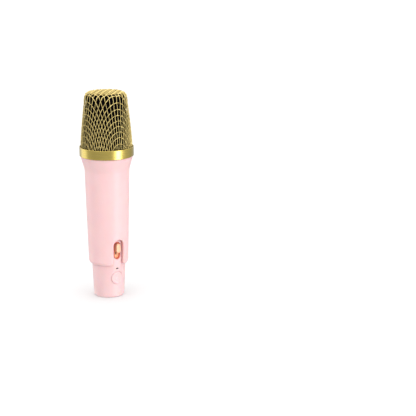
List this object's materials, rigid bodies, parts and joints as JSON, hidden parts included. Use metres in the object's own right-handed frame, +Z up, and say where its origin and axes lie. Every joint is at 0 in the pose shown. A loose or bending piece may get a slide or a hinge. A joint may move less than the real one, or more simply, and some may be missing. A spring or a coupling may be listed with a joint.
{
  "type": "karaoke microphone",
  "caption": "Handheld wireless karaoke microphone with a gold wire grille, a pink sleeve with a thumb notch, a slide switch and a power button.",
  "frame": {"origin": "centre of the flat base that the microphone stands on", "axes": "+Z up the microphone's axis from the base to the grille, -Y the front with the switches, +X to the right seen from the front"},
  "size_m": [0.0428, 0.0428, 0.1666],
  "materials": {
    "pink_shell": "satin",
    "coral_tray": "satin",
    "rose_gold": "satin",
    "gold_ring": "satin",
    "gold_mesh": "satin",
    "black_foam": "matte",
    "black_plastic": "matte",
    "black_rubber": "matte",
    "plain_steel": "satin",
    "dark_magnet": "satin",
    "copper": "satin",
    "clear_film": "gloss",
    "black_felt": "matte",
    "board_green": "satin",
    "chip_black": "matte",
    "cell_wrap": "gloss",
    "white_plastic": "satin",
    "smoked_lens": "gloss",
    "wire_red": "satin",
    "wire_black": "satin",
    "wire_white": "satin"
  },
  "bodies": {
    "handle": {"core_tube": "pink_shell", "outer_sleeve": "pink_shell", "end_cap": "pink_shell", "grille_ring": "gold_ring", "grille_basket": "gold_mesh", "foam_liner": "black_foam", "head_collar": "black_plastic", "capsule_cradle": "black_rubber", "capsule_board": "board_green", "capsule_basket": "black_plastic", "capsule_yoke": "plain_steel", "capsule_magnet": "dark_magnet", "capsule_pole_plate": "plain_steel", "voice_coil": "copper", "diaphragm": "clear_film", "capsule_cover": "plain_steel", "capsule_felt": "black_felt", "switch_tray": "coral_tray", "slide_switch_body": "plain_steel", "tact_switch_body": "plain_steel", "status_led": "white_plastic", "status_light_pipe": "smoked_lens", "main_board": "board_green", "radio_chip": "chip_black", "radio_shield": "plain_steel", "audio_chip": "chip_black", "charge_chip": "chip_black", "power_inductor": "dark_magnet", "crystal": "plain_steel", "antenna_wire": "wire_black", "usb_socket_shell": "plain_steel", "usb_socket_tongue": "black_plastic", "chassis": "black_plastic", "battery_cell": "cell_wrap", "cell_lead_plus": "wire_red", "cell_lead_minus": "wire_black", "capsule_lead_signal": "wire_white", "capsule_lead_ground": "wire_black", "end_cap_screw_1": "plain_steel", "end_cap_screw_2": "plain_steel", "collar_screw_1": "plain_steel", "collar_screw_2": "plain_steel", "board_screw_1": "plain_steel", "board_screw_2": "plain_steel", "board_screw_3": "plain_steel"},
    "slider": {"slide_knob": "rose_gold", "slide_switch_lever": "black_plastic"},
    "button": {"power_button": "pink_shell", "tact_plunger": "black_plastic"}
  },
  "joints": [
    {"name": "switch_slide", "type": "slide", "parent": "handle", "child": "slider", "axis": [0, 0, 1], "range_m": [-0.0046, 0]},
    {"name": "button_press", "type": "slide", "parent": "handle", "child": "button", "axis": [0, 1, 0], "range_m": [0, 0.0005], "stiffness_N_per_m": 2000, "springref_m": -0.0003}
  ]
}
